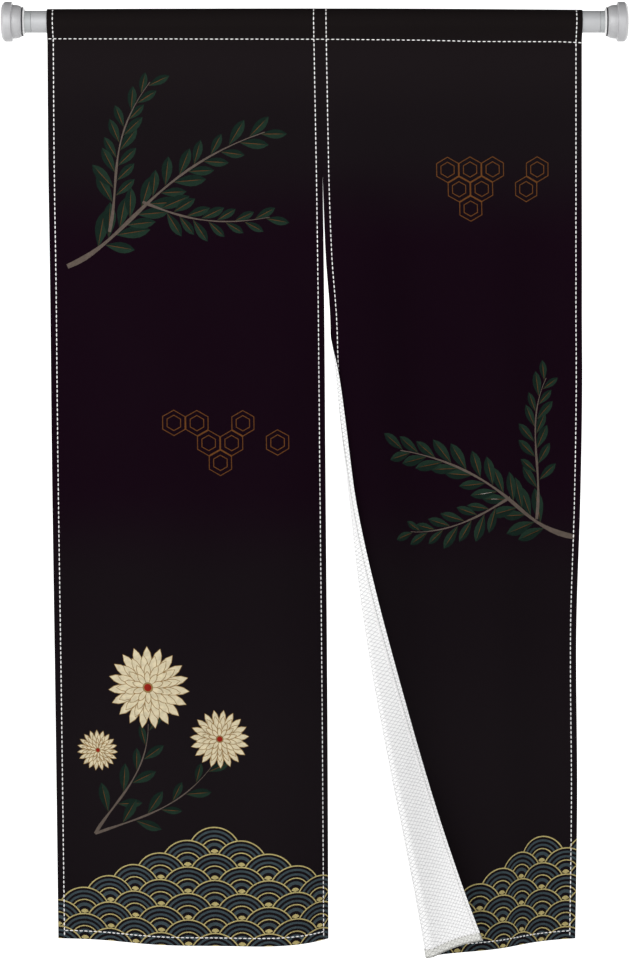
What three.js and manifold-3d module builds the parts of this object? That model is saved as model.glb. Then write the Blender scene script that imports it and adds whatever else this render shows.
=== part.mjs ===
// A noren curtain: two cloth panels that hang side by side on a tension rod between two walls.
// Millimetres. X runs along the rod to the right, Y away from the viewer and Z up.
// The origin is the middle of the left cap's wall face, on the rod's axis.
import * as THREE from "three";
import { mergeVertices } from "three/addons/utils/BufferGeometryUtils.js";
import Module from "manifold-3d";

const wasm = await Module();
wasm.setup();

// Driving sizes
const OVERALL = 1005; // from one wall face to the other
const GAP = 0.3; // between pieces that touch

const ROD = { radius: 17.5, sides: 40 };
const SLEEVE = { left: 48.3, right: 45, seat: 20 }; // reach from the wall, and depth of the cap's seat
const CAP = {
  padRadius: 16, // flat middle of the wall face
  domeRise: 5.6, // of the flange's outer edge from the wall
  flangeRadius: 31.7,
  flangeLength: 17.5,
  edgeRound: 1.4,
  collarRadius: 26.9,
  taperStart: 23, // where the collar begins to draw in
  mouthRadius: 23.2,
  length: 33.4,
};
const RING = {
  radius: 23.2,
  lip: 1.6, // a straight edge, then a cone towards the rod
  length: 4.2,
  noseRadius: 18.8,
};

const CLOTH = {
  left: 73, // outer edge of the left panel at the rod
  seam: 510.6, // where the two panels meet at the rod
  right: 931, // outer edge of the right panel at the rod
  thickness: 1.4,
  hemThickness: 2.4, // where the edge is turned to the back and sewn down
  sideHem: 9.5,
  bottomHem: 13.5,
  drop: 1470, // from the rod's axis to the bottom edge at the outer corner
};
const POCKET = {
  stitchDrop: 27, // the seam under the rod
  tailDrop: 34, // end of the turned-down layer behind the seam
  tailThickness: 2.6,
  inset: 0.8, // of the pocket's ends from the sheet's edges
  sheetStart: 30,
  sheetY: -0.7, // the sheet goes on from the front layer
  arcSteps: 28,
};

// How a panel hangs at each height.
// drop: distance below the rod's axis.
// outer and slit: X of its two edges, the slit edge as if no cloth were turned over.
// forward: how far the slit edge swings out to the viewer.
// bulge: how far the inner half bellies out.
// ripple: height of the soft upright waves.
// turn and roll: degrees and radius of the turned inner edge.
const LEFT_HANG = [
  { drop: 0, outer: 73.6, slit: 510.45, forward: 0, bulge: 0, ripple: 0, turn: 0, roll: 3 },
  { drop: 200, outer: 74.9, slit: 514.17, forward: 0, bulge: 2, ripple: 2, turn: 0, roll: 3 },
  { drop: 232, outer: 75.2, slit: 514.75, forward: 0, bulge: 3, ripple: 2, turn: 0, roll: 3 },
  { drop: 400, outer: 77.8, slit: 517.0, forward: 0, bulge: 9, ripple: 4, turn: 0, roll: 3 },
  { drop: 700, outer: 81.0, slit: 519.4, forward: 0, bulge: 17, ripple: 6, turn: 0, roll: 3 },
  { drop: 1100, outer: 86.8, slit: 522.6, forward: 0, bulge: 26, ripple: 7, turn: 0, roll: 3 },
  { drop: 1500, outer: 92.0, slit: 524.3, forward: 0, bulge: 34, ripple: 8, turn: 0, roll: 3 },
];
const RIGHT_HANG = [
  { drop: 0, outer: 931.0, slit: 510.75, forward: 0, bulge: 0, ripple: 0, turn: 0, roll: 2.5 },
  { drop: 200, outer: 931.0, slit: 514.61, forward: 0, bulge: 0, ripple: 3, turn: 0, roll: 2.5 },
  { drop: 232, outer: 931.0, slit: 515.25, forward: 0, bulge: 0, ripple: 4, turn: 0, roll: 2.5 },
  { drop: 300, outer: 931.0, slit: 517.2, forward: 13, bulge: 0, ripple: 8, turn: 0, roll: 2.5 },
  { drop: 382, outer: 931.0, slit: 520.6, forward: 28, bulge: 0, ripple: 11, turn: 0, roll: 2.5 },
  { drop: 480, outer: 931.0, slit: 527.7, forward: 55, bulge: 0, ripple: 12, turn: 50, roll: 2.5 },
  { drop: 560, outer: 931.5, slit: 530.0, forward: 76, bulge: 0, ripple: 12, turn: 156, roll: 2.6 },
  { drop: 770, outer: 928.5, slit: 542.3, forward: 125, bulge: 0, ripple: 10, turn: 141, roll: 3.2 },
  { drop: 960, outer: 922.5, slit: 548.3, forward: 157, bulge: 0, ripple: 9, turn: 165, roll: 4.5 },
  { drop: 1250, outer: 923.5, slit: 569.8, forward: 200, bulge: 0, ripple: 8, turn: 165, roll: 7 },
  { drop: 1500, outer: 920.0, slit: 605.2, forward: 247, bulge: 0, ripple: 7, turn: 145, roll: 10 },
];
// The fold line leaves the slit edge at start, reaches step beyond it over a settling length, then bows away.
const TURNED_CORNER = { start: 501, step: 6.0, settle: 25, bow: 1.146e-4 };
const NOT_TURNED = { start: 1e6, step: 0, settle: 1, bow: 0 };

const RIPPLES = 2; // full waves across a panel
const BULGE_LEAN = 1.8; // moves the bulge's crest towards the slit
const SWING_BEND = 0.4; // share of the swing that grows with the square of the distance
const STEEPEST = 0.95; // slope in plan past which the cloth would stand edge on
const PLAN_STEPS = 32;
const FOOT_STEPS = 6; // refinements of the nearest point of the fold line
const SHARE_STEP = 1e-3; // for slopes in plan
const LEAST_TURN = 0.01; // degrees

const GRID = {
  rows: 36,
  blend: 1.5, // width of the slope beside a hem
  foldMargin: 2,
  hemMargin: 8,
  body: 12, // columns up to the fold, over it, between it and the hem, and in the hem
  fold: 8,
  flap: 3,
  hem: 4,
};

// hem: the bottom edge lies lower by sag at a share of the width, and by a further amount at the slit edge.
const PANELS = {
  left: {
    side: 1,
    outer: CLOTH.left,
    slit: CLOTH.seam - GAP / 2,
    rows: LEFT_HANG,
    corner: NOT_TURNED,
    hem: { sag: 9, at: 0.68, beyond: -9 },
  },
  right: {
    side: -1,
    outer: CLOTH.right,
    slit: CLOTH.seam + GAP / 2,
    rows: RIGHT_HANG,
    corner: TURNED_CORNER,
    hem: { sag: 8, at: 0.7, beyond: 17 },
  },
};
for (const panel of Object.values(PANELS)) panel.width = Math.abs(panel.slit - panel.outer);

const MATERIALS = {
  cloth: new THREE.MeshStandardMaterial({ color: 0x1a1519, roughness: 0.9, metalness: 0 }),
  rod: new THREE.MeshStandardMaterial({ color: 0xd4d5d7, roughness: 0.3, metalness: 0.1 }),
  cap: new THREE.MeshStandardMaterial({ color: 0xc7c7c9, roughness: 0.4, metalness: 0 }),
  sleeve: new THREE.MeshStandardMaterial({ color: 0xbcc4c3, roughness: 0.35, metalness: 0 }),
  ring: new THREE.MeshStandardMaterial({ color: 0x3c3c3e, roughness: 0.6, metalness: 0 }),
};

// The value of one column at a height, on a smooth curve through the table's rows.
function hangAt(rows, name, drop) {
  const last = rows.length - 1;
  let i = 0;
  while (i < last - 1 && rows[i + 1].drop <= drop) i += 1;
  const chord = (k) => (rows[k + 1][name] - rows[k][name]) / (rows[k + 1].drop - rows[k].drop);
  const slope = (k) => {
    if (k === 0) return chord(0);
    if (k === last) return chord(last - 1);
    const before = rows[k].drop - rows[k - 1].drop;
    const after = rows[k + 1].drop - rows[k].drop;
    return (chord(k - 1) * after + chord(k) * before) / (before + after);
  };
  const span = rows[i + 1].drop - rows[i].drop;
  const t = THREE.MathUtils.clamp((drop - rows[i].drop) / span, 0, 1);
  return (
    (2 * t ** 3 - 3 * t ** 2 + 1) * rows[i][name] +
    (t ** 3 - 2 * t ** 2 + t) * span * slope(i) +
    (3 * t ** 2 - 2 * t ** 3) * rows[i + 1][name] +
    (t ** 3 - t ** 2) * span * slope(i + 1)
  );
}

// Distance from the slit edge to the fold line, along the flat cloth.
function turnedWidth(corner, drop) {
  const below = Math.max(drop - corner.start, 0);
  return corner.step * (1 - Math.exp(-below / corner.settle)) + corner.bow * below ** 2;
}

// How fast the fold line draws back from the slit edge, per unit of drop.
function foldLean(corner, drop) {
  const below = drop - corner.start;
  if (below <= 0) return 0;
  return -(corner.step / corner.settle) * Math.exp(-below / corner.settle) - 2 * corner.bow * below;
}

// Rolls the cloth beyond the fold line over to the front. across is measured from the outer edge of the flat
// cloth, down from the rod's axis, and proud from the middle of the cloth towards its front.
function turnOver(panel, across, down, proud) {
  const { corner, rows, width } = panel;
  const foldAt = (at) => width - turnedWidth(corner, at);
  let foot = down;
  for (let k = 0; k < FOOT_STEPS; k += 1) {
    const lean = foldLean(corner, foot);
    foot += ((across - foldAt(foot)) * lean + (down - foot)) / (1 + lean ** 2);
  }
  const lean = foldLean(corner, foot);
  const length = Math.hypot(1, lean);
  const beyond = ((across - foldAt(foot)) - (down - foot) * lean) / length;
  const turn = THREE.MathUtils.degToRad(Math.max(hangAt(rows, "turn", foot), LEAST_TURN));
  const roll = hangAt(rows, "roll", foot);
  const start = (-roll * turn) / 2;
  if (beyond < start) return { across, down, proud };
  const angle = Math.min((beyond - start) / roll, turn);
  const rest = Math.max(beyond - start - roll * turn, 0);
  const inPlane = start + (roll - proud) * Math.sin(angle) + rest * Math.cos(turn);
  return {
    across: foldAt(foot) + inPlane / length,
    down: foot - (inPlane * lean) / length,
    proud: roll - (roll - proud) * Math.cos(angle) + rest * Math.sin(turn),
  };
}

// How far the hanging panel stands out to the viewer, and the slope of that along the cloth.
function standOut(panel, across, down) {
  const share = across / panel.width;
  const forward = hangAt(panel.rows, "forward", down);
  const bulge = hangAt(panel.rows, "bulge", down);
  const ripple = hangAt(panel.rows, "ripple", down);
  const out = (w) => {
    const within = THREE.MathUtils.clamp(w, 0, 1);
    return (
      forward * w * (1 - SWING_BEND + SWING_BEND * w) +
      bulge * Math.sin(Math.PI * within ** BULGE_LEAN) -
      ripple * Math.sin(2 * Math.PI * RIPPLES * w)
    );
  };
  const slope = (out(share + SHARE_STEP) - out(share - SHARE_STEP)) / (2 * SHARE_STEP * panel.width);
  return { out: out(share), slope: THREE.MathUtils.clamp(slope, -STEEPEST, STEEPEST) };
}

// Length in plan of the cloth from its outer edge to a point across it.
function planLength(panel, across, down) {
  let length = 0;
  for (let k = 0; k < PLAN_STEPS; k += 1) {
    const { slope } = standOut(panel, (across * (k + 0.5)) / PLAN_STEPS, down);
    length += (Math.sqrt(1 - slope ** 2) * across) / PLAN_STEPS;
  }
  return length;
}

// A point of the flat cloth, as it hangs.
function hungPoint(panel, across, down, proud) {
  const turned = turnOver(panel, across, down, proud);
  const outer = hangAt(panel.rows, "outer", turned.down);
  const slit = hangAt(panel.rows, "slit", turned.down);
  const ease = Math.abs(slit - outer) / planLength(panel, panel.width, turned.down);
  const { out, slope } = standOut(panel, turned.across, turned.down);
  const level = Math.sqrt(1 - slope ** 2);
  return [
    outer + panel.side * (ease * planLength(panel, turned.across, turned.down) - slope * turned.proud),
    POCKET.sheetY - out - level * turned.proud,
    -turned.down,
  ];
}

// The bottom edge sags across each panel, and runs on beyond its lowest place to the slit edge.
function bottomDrop(panel, across) {
  const share = across / panel.width;
  const { sag, at, beyond } = panel.hem;
  const reach = Math.max(share - at, 0) / (1 - at);
  return CLOTH.drop + sag * Math.sin((Math.PI / 2) * Math.min(share / at, 1)) + beyond * reach ** 2;
}

// Places across the flat cloth where a panel's grid has its points, from the outer edge to the slit edge.
function columnsAt(panel, down) {
  const { width, corner, rows } = panel;
  const hem = CLOTH.sideHem;
  const hemStart = width - hem - GRID.blend;
  const turn = THREE.MathUtils.degToRad(hangAt(rows, "turn", down));
  const halfRoll = (hangAt(rows, "roll", down) * turn) / 2;
  const foldLine = width - turnedWidth(corner, down);
  const foldStart = Math.min(foldLine - halfRoll - GRID.foldMargin, hemStart - GRID.hemMargin);
  const foldEnd = Math.min(foldLine + halfRoll, hemStart - 1);
  const columns = [0, hem, hem + GRID.blend];
  const spread = (from, to, count) => {
    for (let k = 1; k <= count; k += 1) columns.push(from + ((to - from) * k) / count);
  };
  spread(hem + GRID.blend, foldStart, GRID.body);
  if (corner === NOT_TURNED) {
    spread(foldStart, hemStart, 1);
    spread(hemStart, width - hem, 1);
    spread(width - hem, width, 1);
  } else {
    spread(foldStart, foldEnd, GRID.fold);
    spread(foldEnd, hemStart, GRID.flap);
    spread(hemStart, width - hem, 1);
    spread(width - hem, width, GRID.hem);
  }
  return columns;
}

// Shares of the sheet's height where its grid has its points: even steps, then the bottom hem.
function rowShares(length) {
  const body = 1 - (CLOTH.bottomHem + GRID.blend) / length;
  const shares = [];
  for (let k = 0; k <= GRID.rows; k += 1) shares.push((body * k) / GRID.rows);
  shares.push(1 - CLOTH.bottomHem / length, 1);
  return shares;
}

// A closed solid between a front and a back grid of points, whose rows run to the right, one below another.
function sheetSolid(front, back) {
  const rows = front.length;
  const columns = front[0].length;
  const positions = [...front.flat(2), ...back.flat(2)];
  const indices = [];
  const at = (face, i, j) => (face * rows + i) * columns + j;
  const quad = (a, b, c, d) => indices.push(a, b, c, a, c, d);
  for (let i = 0; i < rows - 1; i += 1) {
    for (let j = 0; j < columns - 1; j += 1) {
      quad(at(0, i, j), at(0, i + 1, j), at(0, i + 1, j + 1), at(0, i, j + 1));
      quad(at(1, i, j), at(1, i, j + 1), at(1, i + 1, j + 1), at(1, i + 1, j));
    }
    const end = columns - 1;
    quad(at(0, i, 0), at(1, i, 0), at(1, i + 1, 0), at(0, i + 1, 0));
    quad(at(0, i, end), at(0, i + 1, end), at(1, i + 1, end), at(1, i, end));
  }
  for (let j = 0; j < columns - 1; j += 1) {
    const end = rows - 1;
    quad(at(0, 0, j), at(0, 0, j + 1), at(1, 0, j + 1), at(1, 0, j));
    quad(at(0, end, j), at(1, end, j), at(1, end, j + 1), at(0, end, j + 1));
  }
  const geometry = new THREE.BufferGeometry();
  geometry.setAttribute("position", new THREE.Float32BufferAttribute(positions, 3));
  geometry.setIndex(indices);
  return geometry;
}

function hangingSheet(panel) {
  const half = CLOTH.thickness / 2;
  const hemExtra = CLOTH.hemThickness - CLOTH.thickness;
  const front = [];
  const back = [];
  const length = CLOTH.drop - POCKET.sheetStart;
  for (const share of rowShares(length)) {
    const level = POCKET.sheetStart + share * length;
    const nearBottom = (1 - share) * length < CLOTH.bottomHem + GRID.blend / 2;
    const frontRow = [];
    const backRow = [];
    for (const across of columnsAt(panel, level)) {
      const bottom = bottomDrop(panel, across);
      const down = POCKET.sheetStart + share * (bottom - POCKET.sheetStart);
      const nearSide = Math.min(across, panel.width - across) < CLOTH.sideHem + GRID.blend / 2;
      frontRow.push(hungPoint(panel, across, down, half));
      backRow.push(hungPoint(panel, across, down, -half - (nearSide || nearBottom ? hemExtra : 0)));
    }
    if (panel.side < 0) {
      frontRow.reverse();
      backRow.reverse();
    }
    front.push(frontRow);
    back.push(backRow);
  }
  return sheetSolid(front, back);
}

// The pocket in cross-section: cloth round the rod that meets at the seam, with a short double tail below.
function pocketShape() {
  const inner = ROD.radius + GAP;
  const outer = inner + CLOTH.thickness;
  const spread = Math.acos(inner / POCKET.stitchDrop);
  const from = -Math.PI / 2 + spread;
  const to = (3 * Math.PI) / 2 - spread;
  const half = POCKET.tailThickness / 2;
  const meeting = (Math.sin(spread) * half - outer) / Math.cos(spread);
  const shape = new THREE.Shape();
  shape.moveTo(half, -POCKET.tailDrop);
  shape.lineTo(half, meeting);
  shape.absarc(0, 0, outer, from, to, false);
  shape.lineTo(-half, meeting);
  shape.lineTo(-half, -POCKET.tailDrop);
  shape.closePath();
  const hole = new THREE.Path();
  hole.moveTo(0, -POCKET.stitchDrop);
  hole.lineTo(inner * Math.cos(from), inner * Math.sin(from));
  hole.absarc(0, 0, inner, from, to, false);
  hole.closePath();
  shape.holes.push(hole);
  return shape;
}

function pocketSolid(panel) {
  const low = Math.min(panel.outer, panel.slit) + POCKET.inset;
  const high = Math.max(panel.outer, panel.slit) - POCKET.inset;
  const geometry = new THREE.ExtrudeGeometry(pocketShape(), {
    depth: high - low,
    bevelEnabled: false,
    curveSegments: POCKET.arcSteps,
  });
  const alongRod = new THREE.Matrix4().makeBasis(
    new THREE.Vector3(0, 1, 0),
    new THREE.Vector3(0, 0, 1),
    new THREE.Vector3(1, 0, 0),
  );
  geometry.applyMatrix4(alongRod);
  geometry.translate(low, 0, 0);
  return geometry;
}

function toManifold(geometry) {
  const bare = geometry.clone();
  bare.deleteAttribute("normal");
  bare.deleteAttribute("uv");
  const merged = mergeVertices(bare, 1e-4);
  return new wasm.Manifold(
    new wasm.Mesh({
      numProp: 3,
      vertProperties: new Float32Array(merged.attributes.position.array),
      triVerts: new Uint32Array(merged.index.array),
    }),
  );
}

function toGeometry(manifold) {
  const mesh = manifold.getMesh();
  const geometry = new THREE.BufferGeometry();
  geometry.setAttribute("position", new THREE.BufferAttribute(mesh.vertProperties, 3));
  geometry.setIndex(new THREE.BufferAttribute(mesh.triVerts, 1));
  geometry.computeVertexNormals();
  return geometry;
}

// A profile of [radius, distance along the axis] pairs, spun about the rod's axis.
function spun(profile) {
  const points = profile.map(([radius, along]) => new THREE.Vector2(radius, along));
  return new THREE.LatheGeometry(points, ROD.sides);
}

function capGeometry() {
  const seat = ROD.radius + GAP;
  const round = CAP.edgeRound;
  return spun([
    [0, 0],
    [CAP.padRadius, 0],
    [CAP.flangeRadius - 5 * round, round],
    [CAP.flangeRadius - round, CAP.domeRise - 2 * round],
    [CAP.flangeRadius, CAP.domeRise],
    [CAP.flangeRadius, CAP.flangeLength - 2 * round],
    [CAP.flangeRadius - round, CAP.flangeLength - round / 2],
    [CAP.collarRadius, CAP.flangeLength],
    [CAP.collarRadius, CAP.taperStart],
    [CAP.collarRadius - round / 2, (CAP.taperStart + CAP.length) / 2],
    [CAP.mouthRadius, CAP.length],
    [seat, CAP.length],
    [seat, SLEEVE.seat],
    [0, SLEEVE.seat],
  ]);
}

function ringGeometry() {
  const bore = ROD.radius + GAP;
  return spun([
    [bore, 0],
    [RING.radius, 0],
    [RING.radius, RING.lip],
    [RING.noseRadius, RING.length],
    [bore, RING.length],
    [bore, 0],
  ]);
}

function barGeometry(length) {
  return spun([
    [0, 0],
    [ROD.radius, 0],
    [ROD.radius, length],
    [0, length],
  ]);
}

const curtain = new THREE.Group();
curtain.name = "noren_curtain";

function addPiece(parent, name, geometry, material) {
  const mesh = new THREE.Mesh(geometry, material);
  mesh.name = name;
  parent.add(mesh);
  return mesh;
}

// Everything that lies along the rod is drawn upright and laid on its side in one of these groups.
function rodEnd(wallX, inwards) {
  const end = new THREE.Group();
  end.position.x = wallX;
  end.rotation.z = (-inwards * Math.PI) / 2;
  curtain.add(end);
  return end;
}

for (const [name, wallX, inwards] of [
  ["left", 0, 1],
  ["right", OVERALL, -1],
]) {
  const end = rodEnd(wallX, inwards);
  const sleeveStart = SLEEVE.seat + GAP;
  addPiece(end, `cap_${name}`, capGeometry(), MATERIALS.cap);
  addPiece(end, `ring_${name}`, ringGeometry(), MATERIALS.ring).position.y = CAP.length + GAP;
  const sleeve = addPiece(end, `sleeve_${name}`, barGeometry(SLEEVE[name] - sleeveStart), MATERIALS.sleeve);
  sleeve.position.y = sleeveStart;
  if (name === "left") {
    const rodStart = SLEEVE.left + GAP;
    const rodLength = OVERALL - SLEEVE.right - GAP - rodStart;
    addPiece(end, "rod", barGeometry(rodLength), MATERIALS.rod).position.y = rodStart;
  }
}

for (const [name, panel] of Object.entries(PANELS)) {
  const whole = toManifold(pocketSolid(panel)).add(toManifold(hangingSheet(panel)));
  addPiece(curtain, `panel_${name}`, toGeometry(whole), MATERIALS.cloth);
}

export default curtain;
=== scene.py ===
"""A noren curtain of printed cloth on a tension rod: its looks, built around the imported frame.

Cloth sizes are in millimetres until hung_cloth turns them into metres. across is measured along the flat
cloth from a panel's outer edge, run down the cloth from the rod's axis, and proud out of the cloth towards
its print.
"""
import math

import bmesh
import bpy
import numpy as np
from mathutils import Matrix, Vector
from mathutils.geometry import delaunay_2d_cdt


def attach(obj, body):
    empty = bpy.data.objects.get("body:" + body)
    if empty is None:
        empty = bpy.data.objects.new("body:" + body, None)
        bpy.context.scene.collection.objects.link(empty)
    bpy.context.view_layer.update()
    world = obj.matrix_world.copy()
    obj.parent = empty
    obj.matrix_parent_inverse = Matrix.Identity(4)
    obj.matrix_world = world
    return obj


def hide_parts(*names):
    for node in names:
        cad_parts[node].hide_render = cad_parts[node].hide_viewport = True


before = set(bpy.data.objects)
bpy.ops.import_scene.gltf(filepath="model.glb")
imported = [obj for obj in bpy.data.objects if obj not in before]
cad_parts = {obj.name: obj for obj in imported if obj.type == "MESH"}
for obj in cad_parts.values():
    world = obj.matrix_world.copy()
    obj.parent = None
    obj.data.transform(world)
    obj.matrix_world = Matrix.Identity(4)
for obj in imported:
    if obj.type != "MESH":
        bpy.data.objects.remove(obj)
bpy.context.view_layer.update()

MM = 0.001

# The rod and its ends, as in the frame
OVERALL = 1005
GAP = 0.3
ROD_RADIUS = 17.5
SLEEVE_REACH = {"left": 48.3, "right": 45}
SLEEVE_SEAT = 20
CAP = {
    "pad": 16,
    "dome": 5.6,
    "dome_inset": 5,
    "dome_inset_rise": 1.5,
    "flange": 31.7,
    "flange_length": 17.5,
    "collar": 26.9,
    "taper_start": 23,
    "taper_bulge": 0.9,
    "mouth": 23.2,
    "length": 33.4,
}
RING = {"radius": 23.2, "lip": 1.6, "length": 4.2, "nose": 18.8}
LATHE_SIDES = 96
CREASE_ANGLE = 40  # degrees between two faces past which the edge looks crisp
MERGE_DISTANCE = 1e-6

# The cloth
SOLID_SHEET = 1.4
THICKNESS = 0.9
HEM_EXTRA = 0.9  # how much deeper the back lies where a hem is turned
BOTTOM_HEM = 13.5
DROP = 1470
SHEET_Y = -0.7
SEAM = {"left": 510.45, "right": 510.75}
SEAM_CLOSING = 0.25  # each panel's share of the frame's gap at the seam
OUTER = {"left": 73.0, "right": 931.0}
POCKET = {
    "meets": 30,  # where its front and its back come together under the rod
    "tail": 35,
    "sheet_top": 36,
    "tail_y": 0.35,
    "softening": 7,
    "spare": 10,  # of path at either end, which the softening uses up
    "arc_steps": 160,
    "path_step": 0.25,
    "fade": 25,  # height over which the sheet's ripples die away into it
}
# How far the pocket stands off the rod's top, at the outer edge and at the slit edge
POCKET_LIFT = {"left": (1.4, 2.4), "right": (0.3, 2.4)}

# How each panel hangs, by its distance below the rod's axis
HANG_COLUMNS = ("drop", "outer", "slit", "forward", "bulge", "ripple", "turn", "roll")
LEFT_HANG = (
    (0, 73.6, 510.45, 0, 0, 0, 0, 3),
    (200, 74.9, 514.17, 0, 2, 2, 0, 3),
    (232, 75.2, 514.75, 0, 3, 2, 0, 3),
    (400, 77.8, 517.0, 0, 9, 4, 0, 3),
    (700, 81.0, 519.4, 0, 17, 6, 0, 3),
    (1100, 86.8, 522.6, 0, 26, 7, 0, 3),
    (1500, 92.0, 524.3, 0, 34, 8, 0, 3),
)
RIGHT_HANG = (
    (0, 931.0, 510.75, 0, 0, 0, 0, 2.5),
    (200, 931.0, 514.61, 0, 0, 3, 0, 2.5),
    (232, 931.0, 515.25, 0, 0, 4, 0, 2.5),
    (300, 931.0, 517.2, 13, 0, 8, 0, 2.5),
    (382, 931.0, 520.6, 28, 0, 11, 0, 2.5),
    (480, 931.0, 527.7, 55, 0, 12, 50, 2.5),
    (560, 931.5, 530.0, 76, 0, 12, 156, 2.6),
    (770, 928.5, 542.3, 125, 0, 10, 141, 3.2),
    (960, 922.5, 548.3, 157, 0, 9, 165, 4.5),
    (1250, 923.5, 569.8, 200, 0, 8, 165, 7),
    (1500, 920.0, 605.2, 247, 0, 7, 145, 10),
)
RIPPLES = 2  # full waves across a panel
BULGE_LEAN = 1.8  # moves the bulge's crest towards the slit
SWING_BEND = 0.4  # share of the swing that grows with the square of the distance
STEEPEST = 0.95  # slope in plan past which the cloth would stand edge on
PLAN_STEPS = 32
FOOT_STEPS = 6  # refinements of the nearest point of the fold line
SHARE_STEP = 1e-3  # for slopes in plan
LEAST_TURN = 0.01  # degrees
PANELS = {
    "left": {
        "side": 1,
        "outer": OUTER["left"],
        "width": SEAM["left"] - OUTER["left"],
        "rows": np.array(LEFT_HANG, float),
        "corner": {"start": 1e6, "step": 0, "settle": 1, "bow": 0},
        "hem": {"sag": 9, "at": 0.68, "beyond": -9},
    },
    "right": {
        "side": -1,
        "outer": OUTER["right"],
        "width": OUTER["right"] - SEAM["right"],
        "rows": np.array(RIGHT_HANG, float),
        "corner": {"start": 501, "step": 6.0, "settle": 25, "bow": 1.146e-4},
        "hem": {"sag": 8, "at": 0.7, "beyond": 17},
    },
}
PRINT_WIDTH = PANELS["left"]["width"] + PANELS["right"]["width"]

# The grid of the cloth
CELL = 7.5
POCKET_CELL = 2.5
# Columns over the fold, which begin a lead above it and stay clear of the slit edge
FOLD = {"columns": 14, "lead": 60, "margin": 1.5, "clear": 0.6}
HEM_COLUMNS = (2.0, 5.0, 8.0, 9.0, 9.5, 10.2, 11.5, 14.0)
HEM_ROWS = (16.5, 15.0, 14.2, 13.5, 12.0, 9.0, 5.0, 2.0)
BODY_END = 18  # the even rows stop this far above the bottom edge
TRIANGLE_NEAR = 1e-3

# Distances between which the back slopes down off a hem
SIDE_SLOPE = (9.0, 10.2)
BOTTOM_SLOPE = 0.7
# Run between which the side hems grow out of the flat pocket
SIDE_FADE = (15, 35)


# How the cloth hangs


def hang_at(panel, column, drop):
    """One column's value at each height, on a smooth curve through the table's rows."""
    drops = panel["rows"][:, 0]
    values = panel["rows"][:, HANG_COLUMNS.index(column)]
    spans = np.diff(drops)
    chords = np.diff(values) / spans
    slopes = np.empty_like(values)
    slopes[0] = chords[0]
    slopes[-1] = chords[-1]
    slopes[1:-1] = (chords[:-1] * spans[1:] + chords[1:] * spans[:-1]) / (spans[:-1] + spans[1:])
    i = np.clip(np.searchsorted(drops, drop, side="right") - 1, 0, len(drops) - 2)
    t = np.clip((drop - drops[i]) / spans[i], 0, 1)
    return (
        (2 * t**3 - 3 * t**2 + 1) * values[i]
        + (t**3 - 2 * t**2 + t) * spans[i] * slopes[i]
        + (3 * t**2 - 2 * t**3) * values[i + 1]
        + (t**3 - t**2) * spans[i] * slopes[i + 1]
    )


def turned_width(panel, drop):
    """Distance from the slit edge to the fold line, along the flat cloth."""
    corner = panel["corner"]
    below = np.maximum(drop - corner["start"], 0)
    return corner["step"] * (1 - np.exp(-below / corner["settle"])) + corner["bow"] * below**2


def fold_lean(panel, drop):
    """How fast the fold line draws back from the slit edge, per unit of drop."""
    corner = panel["corner"]
    below = np.maximum(drop - corner["start"], 0)
    settling = -(corner["step"] / corner["settle"]) * np.exp(-below / corner["settle"])
    return np.where(below > 0, settling - 2 * corner["bow"] * below, 0)


def turn_over(panel, across, down, proud):
    """Rolls the cloth beyond the fold line over to the front."""

    def fold_at(at):
        return panel["width"] - turned_width(panel, at)

    foot = np.array(down, float)
    for _ in range(FOOT_STEPS):
        lean = fold_lean(panel, foot)
        foot = foot + ((across - fold_at(foot)) * lean + (down - foot)) / (1 + lean**2)
    lean = fold_lean(panel, foot)
    length = np.hypot(1, lean)
    beyond = ((across - fold_at(foot)) - (down - foot) * lean) / length
    turn = np.radians(np.maximum(hang_at(panel, "turn", foot), LEAST_TURN))
    roll = hang_at(panel, "roll", foot)
    start = -roll * turn / 2
    angle = np.clip((beyond - start) / roll, 0, turn)
    rest = np.maximum(beyond - start - roll * turn, 0)
    in_plane = start + (roll - proud) * np.sin(angle) + rest * np.cos(turn)
    flat = beyond < start
    return (
        np.where(flat, across, fold_at(foot) + in_plane / length),
        np.where(flat, down, foot - in_plane * lean / length),
        np.where(flat, proud, roll - (roll - proud) * np.cos(angle) + rest * np.sin(turn)),
    )


def sway(panel, down):
    """The three amounts that shape a panel in plan at each height."""
    return [hang_at(panel, column, down) for column in ("forward", "bulge", "ripple")]


def stand_out(share, amounts):
    """How far the panel stands out to the viewer at a share of its width."""
    forward, bulge, ripple = amounts
    within = np.clip(share, 0, 1)
    return (
        forward * share * (1 - SWING_BEND + SWING_BEND * share)
        + bulge * np.sin(np.pi * within**BULGE_LEAN)
        - ripple * np.sin(2 * np.pi * RIPPLES * share)
    )


def slope_at(panel, share, amounts):
    rise = stand_out(share + SHARE_STEP, amounts) - stand_out(share - SHARE_STEP, amounts)
    return np.clip(rise / (2 * SHARE_STEP * panel["width"]), -STEEPEST, STEEPEST)


def plan_length(panel, across, amounts):
    """Length in plan of the cloth from its outer edge to a point across it."""
    length = np.zeros_like(across)
    for k in range(PLAN_STEPS):
        slope = slope_at(panel, across * (k + 0.5) / PLAN_STEPS / panel["width"], amounts)
        length += np.sqrt(1 - slope**2) * across / PLAN_STEPS
    return length


def hung_sheet(panel, across, down, proud):
    """Points of the flat cloth below the pocket, as they hang."""
    across, down, proud = turn_over(panel, across, down, proud)
    amounts = sway(panel, down)
    outer = hang_at(panel, "outer", down)
    slit = hang_at(panel, "slit", down)
    whole = plan_length(panel, np.full_like(across, panel["width"]), amounts)
    ease = np.abs(slit - outer) / whole
    share = across / panel["width"]
    slope = slope_at(panel, share, amounts)
    level = np.sqrt(1 - slope**2)
    joined = SEAM_CLOSING * np.clip(share, 0, 1)
    x = outer + panel["side"] * (ease * plan_length(panel, across, amounts) + joined - slope * proud)
    y = SHEET_Y - stand_out(share, amounts) - level * proud
    return np.stack([x, y, -down], axis=-1)


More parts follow.
